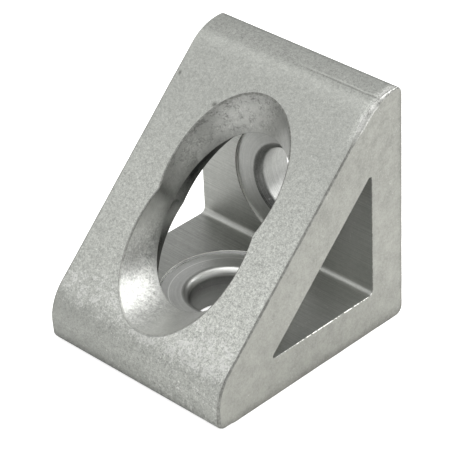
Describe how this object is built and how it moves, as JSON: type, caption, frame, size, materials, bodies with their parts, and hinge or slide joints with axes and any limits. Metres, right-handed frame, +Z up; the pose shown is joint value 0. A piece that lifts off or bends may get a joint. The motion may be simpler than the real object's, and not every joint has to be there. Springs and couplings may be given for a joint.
{
  "type": "t-slot framing connector",
  "caption": "Inside-corner gusset bracket for slotted framing: a triangular extruded tube with a bolt hole in each leg, reached through a figure-eight opening milled in its sloped wall.",
  "frame": {"origin": "on the base bolt hole's axis, at the mounting face under the base leg", "axes": "+X along the extrusion, -Y towards the front nose, +Y out of the back mounting face, +Z up the wall leg"},
  "size_m": [0.0226, 0.0254, 0.0254],
  "materials": {
    "aluminium": "tumbled matte, fine speckle, bright worn edges"
  },
  "bodies": {
    "root": {"gusset_bracket": "aluminium"}
  },
  "joints": []
}
